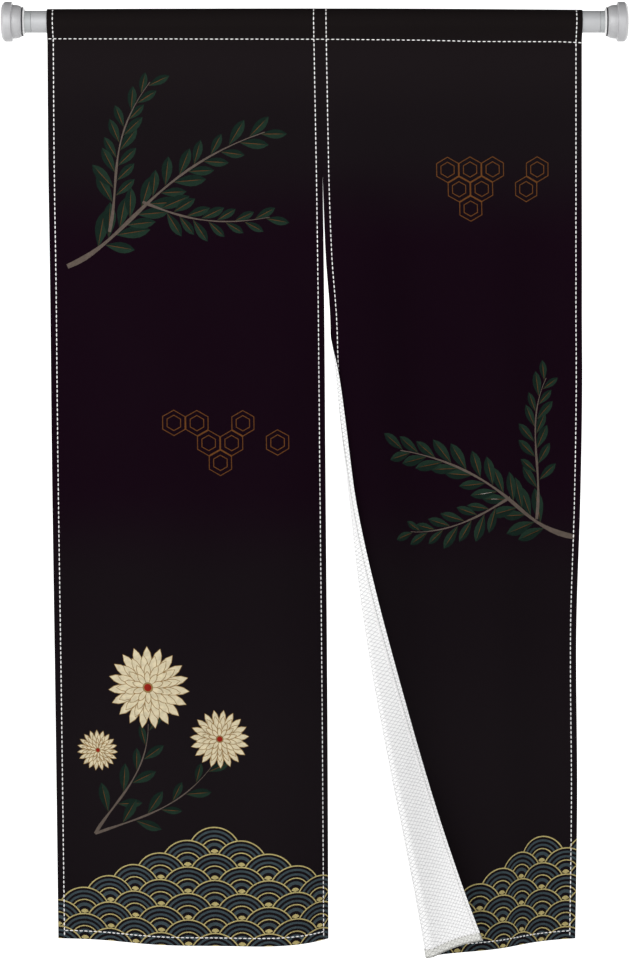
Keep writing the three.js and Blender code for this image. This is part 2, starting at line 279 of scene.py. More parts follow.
def run_along(points):
    """Distance of each point of a line from its start."""
    return np.concatenate([[0], np.cumsum(np.hypot(*np.diff(points, axis=0).T))])


def pocket_line():
    """Run, y and z of the cloth's path round the rod, from the tail up the back, over and down the front."""
    radius = ROD_RADIUS + GAP + SOLID_SHEET / 2
    front = np.array([SHEET_Y, -POCKET["meets"]])
    back = np.array([POCKET["tail_y"], -POCKET["meets"]])
    open_angle = math.acos(radius / np.hypot(*front))
    last = math.atan2(back[1], back[0]) + open_angle
    first = math.atan2(front[1], front[0]) - open_angle + 2 * math.pi
    angles = np.linspace(last, first, POCKET["arc_steps"])
    arc = radius * np.stack([np.cos(angles), np.sin(angles)], axis=1)
    tail_end = [POCKET["tail_y"], -POCKET["tail"] - POCKET["spare"]]
    front_end = [SHEET_Y, -POCKET["sheet_top"] - POCKET["spare"]]
    corners = np.vstack([tail_end, back, arc, front, front_end])
    along = run_along(corners)
    even = np.arange(0, along[-1], POCKET["path_step"])
    path = np.stack([np.interp(even, along, corners[:, k]) for k in (0, 1)], axis=1)
    window = np.ones(int(POCKET["softening"] / POCKET["path_step"]) | 1)
    window /= window.sum()
    path = np.stack([np.convolve(path[:, k], window, mode="valid") for k in (0, 1)], axis=1)
    start = int(np.argmax(path[:, 1] > -POCKET["tail"]))
    turned = len(path) // 2
    end = turned + int(np.argmax(path[turned:, 1] < -POCKET["sheet_top"]))
    path = path[start:end + 1]
    run = run_along(path)
    run += POCKET["sheet_top"] - run[-1]
    return run, path[:, 0], path[:, 1]


POCKET_RUN, POCKET_Y, POCKET_Z = pocket_line()
RUN_TOP = float(POCKET_RUN[0])


def hung_cloth(panel, across, run, proud):
    """Points of the whole flat cloth in metres: the pocket round the rod, then the sheet below it."""
    across, run, proud = np.broadcast_arrays(*(np.asarray(v, float) for v in (across, run, proud)))
    in_pocket = run < POCKET["sheet_top"]
    z = np.interp(run, POCKET_RUN, POCKET_Z)
    y = np.interp(run, POCKET_RUN, POCKET_Y)
    down = np.where(in_pocket, np.maximum(-z, 0), run)
    sheet = hung_sheet(panel, across, down, np.where(in_pocket, 0, proud))
    step = 0.5
    ahead = np.interp(run + step, POCKET_RUN, POCKET_Z) - np.interp(run - step, POCKET_RUN, POCKET_Z)
    out = np.interp(run + step, POCKET_RUN, POCKET_Y) - np.interp(run - step, POCKET_RUN, POCKET_Y)
    size = np.maximum(np.hypot(ahead, out), 1e-6)
    front = np.clip((run - POCKET["sheet_top"] + POCKET["fade"]) / POCKET["fade"], 0, 1)
    rippled = (sheet[..., 1] - SHEET_Y) * front
    sheet[..., 1] = np.where(in_pocket, y + rippled + proud * ahead / size, sheet[..., 1])
    ends = POCKET_LIFT["left" if panel["side"] > 0 else "right"]
    share = np.clip(across / panel["width"], 0, 1)
    lift = (ends[0] + (ends[1] - ends[0]) * np.sin(np.pi / 2 * share)) * np.clip(z / ROD_RADIUS, 0, 1)
    sheet[..., 2] = np.where(in_pocket, z + lift - proud * out / size, sheet[..., 2])
    return sheet * MM


def bottom_run(panel, across):
    """The flat cloth's end: lower by sag at a share of the width, and by a further amount at the slit."""
    share = across / panel["width"]
    hem = panel["hem"]
    sag = hem["sag"] * np.sin(np.pi / 2 * np.minimum(share / hem["at"], 1))
    reach = np.maximum(share - hem["at"], 0) / (1 - hem["at"])
    return DROP + sag + hem["beyond"] * reach**2


# Meshes


def make_object(name, vertices, faces, materials, slots=None, smooth=True):
    mesh = bpy.data.meshes.new(name)
    mesh.from_pydata([tuple(v) for v in vertices], [], faces)
    for material in materials:
        mesh.materials.append(material)
    if slots is not None:
        mesh.polygons.foreach_set("material_index", np.asarray(slots, np.int32))
    mesh.polygons.foreach_set("use_smooth", np.full(len(mesh.polygons), smooth))
    mesh.update()
    piece = bpy.data.objects.new(name, mesh)
    bpy.context.scene.collection.objects.link(piece)
    return piece


def lathe(name, profile, wall_x, inwards, material, replaced):
    """A closed piece spun round the rod's axis. profile holds (radius, distance from the wall)."""
    sides = LATHE_SIDES
    rings = [(r, d) for r, d in profile if r > 0]
    angles = np.linspace(0, 2 * np.pi, sides, endpoint=False)
    vertices = []
    for radius, distance in rings:
        x = wall_x + inwards * distance
        vertices.extend((x * MM, radius * math.cos(a) * MM, radius * math.sin(a) * MM) for a in angles)
    faces = []
    closed = profile[0] == profile[-1]
    for i in range(len(rings) - 1):
        for j in range(sides):
            k = (j + 1) % sides
            quad = (i * sides + j, i * sides + k, (i + 1) * sides + k, (i + 1) * sides + j)
            faces.append(quad if inwards > 0 else quad[::-1])
    if not closed:
        for ring, x, turn in ((0, profile[0][1], -1), (len(rings) - 1, profile[-1][1], 1)):
            centre = len(vertices)
            vertices.append(((wall_x + inwards * x) * MM, 0, 0))
            for j in range(sides):
                face = (ring * sides + j, ring * sides + (j + 1) % sides, centre)
                faces.append(face if turn * inwards > 0 else face[::-1])
    piece = make_object(name, vertices, faces, [material])
    clean_mesh(piece, CREASE_ANGLE)
    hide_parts(replaced)
    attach(piece, "root")
    return piece


def clean_mesh(piece, crease=180):
    """Merges double vertices, turns faces outwards and crisps the edges that turn by more than a crease."""
    mesh = bmesh.new()
    mesh.from_mesh(piece.data)
    bmesh.ops.remove_doubles(mesh, verts=mesh.verts, dist=MERGE_DISTANCE)
    bmesh.ops.recalc_face_normals(mesh, faces=mesh.faces)
    mesh.normal_update()
    for edge in mesh.edges:
        edge.smooth = edge.calc_face_angle(0) <= math.radians(crease)
    mesh.to_mesh(piece.data)
    mesh.free()


def rounded(corners, radius, steps=5, most=0.45):
    """The corners of a profile, each inner one replaced by an arc over at most this share of either side."""
    points = [corners[0]]
    for before, corner, after in zip(corners, corners[1:], corners[2:]):
        here = Vector(corner)
        into = Vector(before) - here
        away = Vector(after) - here
        reach = min(radius, into.length * most, away.length * most)
        start = here + into.normalized() * reach
        end = here + away.normalized() * reach
        for k in range(steps + 1):
            t = k / steps
            points.append(tuple(start * (1 - t) ** 2 + here * 2 * t * (1 - t) + end * t**2))
    points.append(corners[-1])
    return points


# Materials


class Nodes:
    """Short ways to add and join shader nodes."""

    def __init__(self, tree):
        self.tree = tree

    def add(self, kind, **settings):
        node = self.tree.nodes.new(kind)
        for key, value in settings.items():
            if key.startswith("in_"):
                node.inputs[key[3:].replace("_", " ")].default_value = value
            else:
                setattr(node, key, value)
        return node

    def join(self, source, target):
        self.tree.links.new(source, target)

    def fill(self, socket, value):
        """Sets a socket to a number or colour, or joins another node's output to it."""
        if isinstance(value, (int, float, tuple)):
            socket.default_value = value
        elif value is not None:
            self.join(value, socket)

    def math(self, operation, a, b=None, c=None):
        node = self.add("ShaderNodeMath", operation=operation)
        for socket, value in zip(node.inputs, (a, b, c)):
            self.fill(socket, value)
        return node.outputs[0]

    def mix(self, share, a, b):
        node = self.add("ShaderNodeMix", data_type="RGBA")
        for number, value in ((0, share), (6, a), (7, b)):
            self.fill(node.inputs[number], value)
        return node.outputs[2]

    def cloth_place(self):
        """The place on the flat cloth, in metres."""
        return self.add("ShaderNodeUVMap", uv_map="cloth").outputs[0]

    def object_place(self):
        return self.add("ShaderNodeTexCoord").outputs["Object"]

    def split(self, place):
        parts = self.add("ShaderNodeSeparateXYZ")
        self.join(place, parts.inputs[0])
        return parts.outputs

    def noise(self, place, scale, detail, output=0):
        node = self.add("ShaderNodeTexNoise", in_Scale=scale, in_Detail=detail)
        self.join(place, node.inputs["Vector"])
        return node.outputs[output]

    def ramp(self, height, stops, interpolation="LINEAR"):
        """A colour by height, from (height, colour) pairs."""
        node = self.add("ShaderNodeValToRGB")
        self.join(height, node.inputs[0])
        node.color_ramp.interpolation = interpolation
        while len(node.color_ramp.elements) < len(stops):
            node.color_ramp.elements.new(0.5)
        for element, (position, colour) in zip(node.color_ramp.elements, stops):
            element.position = position
            element.color = colour
        return node.outputs[0]


def start_material(name, roughness, specular):
    material = bpy.data.materials.new(name)
    material.use_nodes = True
    nodes = Nodes(material.node_tree)
    shader = material.node_tree.nodes["Principled BSDF"]
    shader.inputs["Roughness"].default_value = roughness
    shader.inputs["Specular IOR Level"].default_value = specular
    return material, nodes, shader


def linear(red, green, blue):
    """A linear colour from one given in 0 to 255."""
    def one(v):
        v /= 255
        return v / 12.92 if v <= 0.04045 else ((v + 0.055) / 1.055) ** 2.4
    return (one(red), one(green), one(blue), 1)


THREAD_PITCH = 0.7


def weave_height(nodes):
    """A plain weave on the cloth: 1 on a thread's crown, -1 in the holes."""
    turns = math.pi / (THREAD_PITCH * MM)
    parts = nodes.split(nodes.cloth_place())
    waves = [nodes.math("SINE", nodes.math("MULTIPLY", parts[axis], turns)) for axis in (0, 1)]
    return nodes.math("MULTIPLY", *waves)


def add_bump(nodes, shader, height, distance, strength):
    bump = nodes.add("ShaderNodeBump", in_Distance=distance, in_Strength=strength)
    nodes.join(height, bump.inputs["Height"])
    nodes.join(bump.outputs[0], shader.inputs["Normal"])


GROUND_SHADES = (
    (0.00, (22, 18, 18)),
    (0.04, (25, 20, 22)),
    (0.12, (21, 16, 19)),
    (0.25, (18, 4, 15)),
    (0.50, (18, 4, 15)),
    (0.62, (20, 14, 18)),
    (0.80, (23, 18, 21)),
    (1.00, (21, 16, 19)),
)


def ground_material():
    """The black printed ground, a little warmer and deeper halfway down."""
    material, nodes, shader = start_material("cloth_ground", roughness=0.85, specular=0.03)
    place = nodes.cloth_place()
    height = nodes.math("DIVIDE", nodes.split(place)[1], -(DROP * MM))
    body = nodes.ramp(height, [(at, linear(*shade)) for at, shade in GROUND_SHADES], "EASE")
    cloud = nodes.math("MULTIPLY", nodes.noise(place, 9.0, 3.0), 0.1)
    nodes.join(nodes.mix(cloud, body, linear(26, 20, 24)), shader.inputs["Base Color"])
    add_bump(nodes, shader, weave_height(nodes), distance=0.00012, strength=0.6)
    return material


# The coarse weave on the cloth's back, in metres, and how thin the lines between its lenses are
LENS_LENGTH = 0.0052
LENS_HEIGHT = 0.0032
LENS_EDGE = 3.2
LENS_WOBBLE = (0.003, 0.003, 0)


def weave_lattice(nodes, place):
    """1 inside each lens of the coarse weave on the cloth's back, 0 along the lines between them."""
    shift = nodes.add("ShaderNodeVectorMath", operation="MULTIPLY_ADD")
    nodes.join(nodes.noise(place, 70.0, 2.0, "Color"), shift.inputs[0])
    shift.inputs[1].default_value = LENS_WOBBLE
    nodes.join(place, shift.inputs[2])
    parts = nodes.split(shift.outputs[0])
    u = nodes.math("MULTIPLY", parts[0], 1 / LENS_LENGTH)
    v = nodes.math("MULTIPLY", parts[1], 1 / LENS_HEIGHT)
    lines = []
    for across in (nodes.math("ADD", u, v), nodes.math("SUBTRACT", u, v)):
        wave = nodes.math("ABSOLUTE", nodes.math("SINE", nodes.math("MULTIPLY", across, math.pi / 2)))
        lines.append(nodes.math("SMOOTH_MIN", nodes.math("MULTIPLY", wave, LENS_EDGE), 1, 0.4))
    return nodes.math("MULTIPLY", *lines)


def line_near_edge(nodes, distance, width):
    """1 on a line that runs along the cloth's edge at this distance in metres, 0 elsewhere."""
    from_edge = nodes.add("ShaderNodeAttribute", attribute_name="from_edge").outputs["Fac"]
    away = nodes.math("ABSOLUTE", nodes.math("SUBTRACT", from_edge, distance))
    return nodes.math("MAXIMUM", nodes.math("SUBTRACT", 1, nodes.math("DIVIDE", away, width)), 0)


def back_material():
    """The white back of the cloth: the outlines of its coarse weave, and a grey speckled line 6.6 mm in from
    its side edges.
    """
    material, nodes, shader = start_material("cloth_back", roughness=0.9, specular=0.1)
    place = nodes.cloth_place()
    lattice = weave_lattice(nodes, place)
    line = line_near_edge(nodes, distance=0.0066, width=0.0012)
    inset_line = nodes.math("MULTIPLY", line, nodes.noise(place, 500.0, 1.0))
    white = nodes.mix(lattice, linear(184, 184, 186), linear(250, 250, 250))
    nodes.join(nodes.mix(inset_line, white, linear(90, 88, 88)), shader.inputs["Base Color"])
    height = nodes.math("MULTIPLY_ADD", weave_height(nodes), 0.3, lattice)
    add_bump(nodes, shader, height, distance=0.0003, strength=0.3)
    return material


def hem_material():
    """The back of the turned-up bottom hem: greyer than the rest, with speckled lines along it."""
    material, nodes, shader = start_material("cloth_hem", roughness=0.9, specular=0.1)
    place = nodes.cloth_place()
    white = nodes.mix(nodes.noise(place, 260.0, 3.0), linear(196, 196, 190), linear(252, 252, 248))
    body = nodes.mix(weave_lattice(nodes, place), linear(160, 160, 156), white)
    low_line = line_near_edge(nodes, distance=0.0008, width=0.0026)
    inset_line = line_near_edge(nodes, distance=0.0128, width=0.0014)
    speckle = nodes.math("MULTIPLY", nodes.noise(place, 600.0, 1.0), 1.4)
    lines = nodes.math("MULTIPLY", nodes.math("ADD", low_line, inset_line), speckle)
    nodes.join(nodes.mix(lines, body, linear(84, 82, 76)), shader.inputs["Base Color"])
    add_bump(nodes, shader, weave_height(nodes), distance=0.0002, strength=0.5)
    return material


def thread_material():
    """White polyester thread, twisted."""
    material, nodes, shader = start_material("thread", roughness=0.6, specular=0.3)
    twist = nodes.add("ShaderNodeTexWave", in_Scale=900.0, in_Distortion=1.0)
    nodes.join(nodes.object_place(), twist.inputs["Vector"])
    colour = nodes.mix(twist.outputs[1], linear(236, 234, 234), linear(255, 253, 253))
    nodes.join(colour, shader.inputs["Base Color"])
    return material


def enamel_material(name, shade, speckle, roughness, metallic=0.0, spread=0.12):
    """Satin paint or moulded plastic with the faintest mottle and orange peel."""
    material, nodes, shader = start_material(name, roughness, specular=0.5)
    shader.inputs["Metallic"].default_value = metallic
    place = nodes.object_place()
    mottle = nodes.noise(place, 35.0, 4.0)
    darker = tuple(v * (1 - speckle) for v in shade)
    nodes.join(nodes.mix(mottle, linear(*darker), linear(*shade)), shader.inputs["Base Color"])
    add_bump(nodes, shader, nodes.noise(place, 900.0, 1.0), distance=0.00004, strength=0.4)
    rough = nodes.math("MULTIPLY_ADD", mottle, spread, roughness - spread / 2)
    nodes.join(rough, shader.inputs["Roughness"])
    return material


# The cloth's meshes


def grid_points(panel):
    """Edge points in order round the flat cloth, and points inside it, as (across, share of the run)."""
    width = panel["width"]
    length = DROP - RUN_TOP
    columns = [0, *HEM_COLUMNS]
    middle = np.arange(HEM_COLUMNS[-1] + CELL, width - HEM_COLUMNS[-1] - CELL / 2, CELL)
    columns += [*middle, *(width - c for c in reversed(HEM_COLUMNS)), width]
    rows = [*np.arange(RUN_TOP, POCKET["sheet_top"], POCKET_CELL)]
    rows += [*np.arange(POCKET["sheet_top"], DROP - BODY_END, CELL)]
    rows += [DROP - d for d in HEM_ROWS]
    shares = [(r - RUN_TOP) / length for r in rows] + [1.0]
    edge = [(c, 0.0) for c in columns[:-1]]
    edge += [(width, s) for s in shares[:-1]]
    edge += [(c, 1.0) for c in reversed(columns[1:])]
    edge += [(0.0, s) for s in reversed(shares[1:])]
    inside = [(c, s) for c in columns[1:-1] for s in shares[1:-1]]
    if panel["corner"]["step"]:
        for share in shares[1:-1]:
            run = RUN_TOP + share * length
            if run < panel["corner"]["start"] - FOLD["lead"]:
                continue
            turn = math.radians(float(hang_at(panel, "turn", run)))
            half = float(hang_at(panel, "roll", run)) * turn / 2 + FOLD["margin"]
            fold = width - float(turned_width(panel, run))
            for offset in np.linspace(-half, half, FOLD["columns"]):
                if fold + offset < width - FOLD["clear"]:
                    inside.append((fold + offset, share))
    return edge, inside


def flat_to_run(panel, across, share):
    """The run of a point whose place down the cloth is a share of the column's length."""
    return RUN_TOP + share * (bottom_run(panel, across) - RUN_TOP)


def triangulate(edge, inside, shapes, length):
    """Triangles of the flat cloth with every shape's outline as edges, and the shape on top of each or -1."""
    scale = np.array([1.0, length])
    points = [*np.array(edge) * scale, *np.array(inside) * scale]
    edges = []
    for outline in shapes:
        first = len(points)
        edges.extend((first + k, first + (k + 1) % len(outline)) for k in range(len(outline)))
        points.extend(outline)
    whole_hull = 0
    result = delaunay_2d_cdt([Vector(p) for p in points], edges, [], whole_hull, TRIANGLE_NEAR, False)
    vertices = np.array([tuple(v) for v in result[0]])
    triangles = np.array([list(triangle) for triangle in result[2]])
    return vertices / scale, triangles, shape_on_top(vertices[triangles].mean(axis=1), shapes)


def shape_on_top(places, shapes):
    """The last shape that holds each place, or -1."""
    order = np.argsort(places[:, 1])
    heights = places[order, 1]
    tops = np.full(len(places), -1)
    for number, outline in enumerate(shapes):
        corners = np.array(outline)
        low, high = corners.min(axis=0), corners.max(axis=0)
        near = order[np.searchsorted(heights, low[1]):np.searchsorted(heights, high[1])]
        near = near[(places[near, 0] > low[0]) & (places[near, 0] < high[0])]
        x, y = places[near, 0][:, None], places[near, 1][:, None]
        x0, y0 = corners.T
        x1, y1 = np.roll(corners, -1, axis=0).T
        spans = (y0 > y) != (y1 > y)
        with np.errstate(divide="ignore", invalid="ignore"):
            crossed = x < x0 + (y - y0) * (x1 - x0) / (y1 - y0)
        tops[near[(spans & crossed).sum(axis=1) % 2 == 1]] = number
    return tops


def clipped(outline, width, length):
    """The part of an outline that lies on the flat cloth."""
    for axis, limit, inwards in ((0, 0.0, 1), (0, width, -1), (1, 0.0, 1), (1, length, -1)):
        kept = []
        for here, after in zip(outline, outline[1:] + outline[:1]):
            here_in = inwards * (here[axis] - limit) >= 0
            after_in = inwards * (after[axis] - limit) >= 0
            if here_in:
                kept.append(here)
            if here_in != after_in:
                t = (limit - here[axis]) / (after[axis] - here[axis])
                along = here[1 - axis] + t * (after[1 - axis] - here[1 - axis])
                kept.append((limit, along) if axis == 0 else (along, limit))
        outline = kept
    return outline


def edge_distance(panel, across, run):
    """Distance from the nearest side or bottom edge of the flat cloth."""
    return np.minimum(np.minimum(across, panel["width"] - across), bottom_run(panel, across) - run)


def back_proud(panel, across, run):
    """Depth of the back face behind the middle of the cloth, deeper where the hems are turned."""
    from_side = np.minimum(across, panel["width"] - across)
    from_bottom = bottom_run(panel, across) - run
    side = np.clip((SIDE_SLOPE[1] - from_side) / (SIDE_SLOPE[1] - SIDE_SLOPE[0]), 0, 1)
    faded = side * np.clip((run - SIDE_FADE[0]) / (SIDE_FADE[1] - SIDE_FADE[0]), 0, 1)
    side = np.where(run < POCKET["sheet_top"], faded, side)
    low = np.clip((BOTTOM_HEM + BOTTOM_SLOPE - from_bottom) / BOTTOM_SLOPE, 0, 1)
    return -THICKNESS / 2 - HEM_EXTRA * np.maximum(side, low)


def surface_normals(panel, across, run, proud, outwards):
    """Normals of the hung surface at points of the flat cloth; outwards is 1 on its front, -1 on its back."""
    step = 0.3
    wide = hung_cloth(panel, across + step, run, proud) - hung_cloth(panel, across - step, run, proud)
    tall = hung_cloth(panel, across, run + step, proud) - hung_cloth(panel, across, run - step, proud)
    normal = np.cross(tall, wide) * panel["side"] * outwards[:, None]
    return normal / np.maximum(np.linalg.norm(normal, axis=-1, keepdims=True), 1e-12)


def loop_of_edge(vertices, width):
    """Numbers of the vertices on the flat outline, in order round it."""
    across, share = vertices[:, 0] / width, vertices[:, 1]
    near = 1e-6
    sides = (share < near, across > 1 - near, share > 1 - near, across < near)
    place = np.select(sides, (across, 1 + share, 3 - across, 4 - share), -1)
    found = np.flatnonzero(place > -0.5)
    return found[np.argsort(place[found])]


def build_panel(name, shapes, shape_slots, materials):
    """One panel as a closed sheet: a printed front, a white back and the rim between them."""
    panel = PANELS[name]
    length = DROP - RUN_TOP
    edge, inside = grid_points(panel)
    front_flat, front_faces, tops = triangulate(edge, inside, shapes, length)
    front_loop = loop_of_edge(front_flat, panel["width"])
    back_flat, back_faces, _ = triangulate(front_flat[front_loop], inside, [], length)

    # From here on the vertices of the back follow those of the front
    offset = len(front_flat)
    back_loop = loop_of_edge(back_flat, panel["width"]) + offset
    back_faces = back_faces + offset
    flat = np.vstack([front_flat, back_flat])
    outwards = np.where(np.arange(len(flat)) < offset, 1, -1)
    across = flat[:, 0]
    run = flat_to_run(panel, across, flat[:, 1])
    proud = np.where(outwards > 0, THICKNESS / 2, back_proud(panel, across, run))
    vertices = hung_cloth(panel, across, run, proud)
    wanted = surface_normals(panel, across, run, proud, outwards)
    faces = [turned_out(face, vertices, wanted) for face in np.vstack([front_faces, back_faces]).tolist()]
    gaps = (flat[front_loop][:, None, :] - flat[back_loop][None, :, :]) * (1, length)
    behind = back_loop[np.argmin((gaps**2).sum(axis=2), axis=1)]
    quads = np.stack([front_loop, np.roll(front_loop, -1), np.roll(behind, -1), behind], axis=1).tolist()
    rim = orient_rim([(a, b, c, d) if c != d else (a, b, c) for a, b, c, d in quads], faces)

    slots = [0 if top < 0 else shape_slots[top] for top in tops]
    hem_slot, back_slot = len(materials) - 1, len(materials) - 2
    centre_across, centre_run = (values[back_faces].mean(axis=1) for values in (across, run))
    low = bottom_run(panel, centre_across) - centre_run < BOTTOM_HEM
    slots += [hem_slot if is_low else back_slot for is_low in low]
    slots += [0] * len(rim)
    piece = make_object(f"cloth_{name}", vertices, faces + rim, materials, slots)
    mesh = piece.data
    corner_vertices = np.empty(len(mesh.loops), np.int32)
    mesh.loops.foreach_get("vertex_index", corner_vertices)
    places = np.stack([across, -run], axis=1)[corner_vertices] * MM
    mesh.uv_layers.new(name="cloth").data.foreach_set("uv", places.astype(np.float32).ravel())
    nearest = edge_distance(panel, across, run).astype(np.float32) * MM
    mesh.attributes.new("from_edge", "FLOAT", "POINT").data.foreach_set("value", nearest)
    mesh.normals_split_custom_set_from_vertices([tuple(n) for n in wanted])
    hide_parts(f"panel_{name}")
    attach(piece, "root")
    return piece


def turned_out(face, vertices, wanted):
    """The face with its corners in the order that makes it point out of the cloth."""
    a, b, c = (vertices[i] for i in face)
    outward = np.dot(np.cross(b - a, c - a), wanted[face[0]] + wanted[face[1]] + wanted[face[2]])
    return face if outward >= 0 else face[::-1]


def orient_rim(rim, faces):
    """The rim's faces in the order that the front's edges ask for."""
    a, b = rim[0][0], rim[0][1]
    same_way = any(a in f and b in f and f[(f.index(a) + 1) % 3] == b for f in faces)
    return [quad[::-1] for quad in rim] if same_way else rim


# The print
# Its shapes are (shade, outline), the lowest first. A place is (distance across both panels, run).

PRINT_SHADES = {
    "gold": (200, 184, 122),
    "slate": (66, 80, 86),
    "bronze": (112, 68, 32),
    "leaf": (20, 38, 31),
    "leaf_light": (31, 52, 41),
    "bark": (104, 92, 84),
    "cream": (238, 224, 188),
    "cream_edge": (164, 132, 84),
    "red": (160, 38, 26),
}
PRINT_FADE = 0.72  # how dark the ink is in its thinnest spots
PRINT_SLOTS = {"ground": 0, **{shade: 1 + i for i, shade in enumerate(PRINT_SHADES)}}

# A border of overlapping fans along the hem
FAN_RADIUS = 42
FAN_START = 22  # degrees above level, below which the fans in front hide it
FAN_ROWS = range(-2, 9)
FAN_ARC_STEP = 2.4
FAN_LEAST_STEPS = 6
FAN_RINGS = (
    (1.00, "gold"),
    (0.955, "ground"),
    (0.87, "slate"),
    (0.79, "ground"),
    (0.70, "slate"),
    (0.62, "ground"),
    (0.54, "gold"),
    (0.50, "ground"),
    (0.40, "slate"),
    (0.28, "ground"),
    (0.16, "gold"),
)
# Height of the border above the hem at some places along it
FAN_SKYLINE = (
    (0, 90),
    (110, 130),
    (250, 205),
    (380, 150),
    (450, 105),
    (560, 70),
    (680, 125),
    (790, 190),
    (858, 170),
)

# Clusters of hexagons: the place of each one's first hexagon, and which cells of the honeycomb are there
HEXAGON_SIDE = 21
HEXAGON_RINGS = ((1.0, "bronze"), (0.93, "ground"), (0.62, "bronze"), (0.55, "ground"))
HEXAGONS = (
    {"x": 640, "run": 236, "cells": ((0, 0), (1, 0), (2, 0), (0, 1), (1, 1), (3, 1), (1, 2), (4, 0))},
    {"x": 196, "run": 640, "cells": ((0, 0), (1, 0), (1, 1), (2, 1), (3, 0), (2, 2), (4, 1))},
)

# Leafy sprigs: the stem's four control points, its width at the root, the leaves along it and their length
SPRIGS = (
    {"stem": ((28, 392), (128, 350), (170, 232), (346, 176)), "width": 7.5, "leaves": 24, "length": 62},
    {"stem": ((150, 288), (196, 306), (250, 330), (352, 312)), "width": 4.2, "leaves": 14, "length": 52},
    {"stem": ((96, 336), (116, 254), (92, 190), (164, 96)), "width": 4.8, "leaves": 16, "length": 54},
    {"stem": ((850, 826), (756, 810), (700, 700), (548, 684)), "width": 7.5, "leaves": 24, "length": 60},
    {"stem": ((734, 760), (692, 780), (640, 818), (566, 812)), "width": 4.2, "leaves": 13, "length": 50},
    {"stem": ((786, 796), (796, 706), (762, 650), (800, 570)), "width": 4.8, "leaves": 15, "length": 52},
    {"stem": ((60, 1300), (90, 1246), (150, 1204), (150, 1120)), "width": 4.6, "leaves": 8, "length": 54},
    {"stem": ((60, 1300), (130, 1270), (196, 1256), (250, 1184)), "width": 3.8, "leaves": 8, "length": 50},
)
STEM = {
    "points": 22,
    "taper": 0.8,
    "knot": 0.25,  # how much it swells and thins along its length
    "knots": 19,
    "bare": 0.16,  # share of it below the first leaf
}
LEAF = {
    "slimness": 0.17,
    "angle": 48,  # degrees from the stem, and how much less at its tip
    "closing": 22,
    "angle_spread": 9,
    "lengths": (0.82, 1.08),
    "shortening": 0.25,  # towards the stem's tip
    "foot": 3,
    "roundness": 0.8,
}
VEIN = {"foot": 2, "length": 0.9, "width": 0.9, "roundness": 0.4}

# Blossoms, and the layers of petals in each. reach is a share of the radius, and width a share of the reach
BLOSSOMS = (
    {"x": 150, "run": 1062, "radius": 66, "turn": 4},
    {"x": 262, "run": 1142, "radius": 47, "turn": 13},
    {"x": 66, "run": 1166, "radius": 33, "turn": 21},
)
PETAL_LAYERS = (
    {"reach": 1.0, "petals": 19, "width": 0.24},
    {"reach": 0.8, "petals": 17, "width": 0.25},
    {"reach": 0.6, "petals": 14, "width": 0.29},
    {"reach": 0.4, "petals": 10, "width": 0.38},
)
PETAL_FOOT = {"edge": 0.1, "face": 0.14}  # where a petal starts, as a share of its reach
PETAL_BORDER = {"tip": 1.3, "sides": 2.2}
HEART = ((0.13, "cream_edge"), (0.09, "red"))
HEART_SIDES = 24


def circle_part(x, run, radius, start, end, steps):
    """Points of an arc, by its degrees above level."""
    angles = np.radians(np.linspace(start, end, steps + 1))
    return [(x + radius * math.cos(a), run - radius * math.sin(a)) for a in angles]


def fans():
    """The border of fans, from its top row down to the hem."""
    shapes = []
    half = FAN_RADIUS / 2
    for row in reversed(FAN_ROWS):
        height = row * half
        shift = FAN_RADIUS * (row % 2)
        for x in np.arange(-FAN_RADIUS + shift, PRINT_WIDTH + FAN_RADIUS, 2 * FAN_RADIUS):
            if row > 0 and height + FAN_RADIUS > np.interp(x, *zip(*FAN_SKYLINE)):
                continue
            for size, shade in FAN_RINGS:
                radius = size * FAN_RADIUS
                steps = max(FAN_LEAST_STEPS, int(radius / FAN_ARC_STEP))
                arc = circle_part(x, DROP - height, radius, FAN_START, 180 - FAN_START, steps)
                shapes.append((shade, [*arc, (x, DROP - height)]))
    return shapes


def hexagons():
    shapes = []
    across = HEXAGON_SIDE * math.sqrt(3)
    for cluster in HEXAGONS:
        for column, row in cluster["cells"]:
            x = cluster["x"] + across * (column + 0.5 * (row % 2))
            run = cluster["run"] + 1.5 * HEXAGON_SIDE * row
            for size, shade in HEXAGON_RINGS:
                shapes.append((shade, circle_part(x, run, size * HEXAGON_SIDE, 30, 330, 5)))
    return shapes


def curve_point(controls, t):
    """A point and the direction of a cubic curve."""
    a, b, c, d = (np.array(p, float) for p in controls)
    place = a * (1 - t) ** 3 + 3 * b * t * (1 - t) ** 2 + 3 * c * t**2 * (1 - t) + d * t**3
    ahead = 3 * (b - a) * (1 - t) ** 2 + 6 * (c - b) * t * (1 - t) + 3 * (d - c) * t**2
    return place, ahead / np.hypot(*ahead)


def lens(place, direction, near, far, width, roundness=0.6, steps=6):
    """A leaf or petal along a direction, from near to far, its widest part towards the tip."""
    side = np.array([-direction[1], direction[0]])
    t = np.linspace(0, 1, steps + 1)
    swell = np.sin(np.pi * t**1.25) ** roundness * width / 2
    there = [place + direction * (near + (far - near) * k) + side * w for k, w in zip(t, swell)]
    back = [place + direction * (near + (far - near) * k) - side * w for k, w in zip(t, swell)]
    return [tuple(p) for p in [*there, *back[-2:0:-1]]]


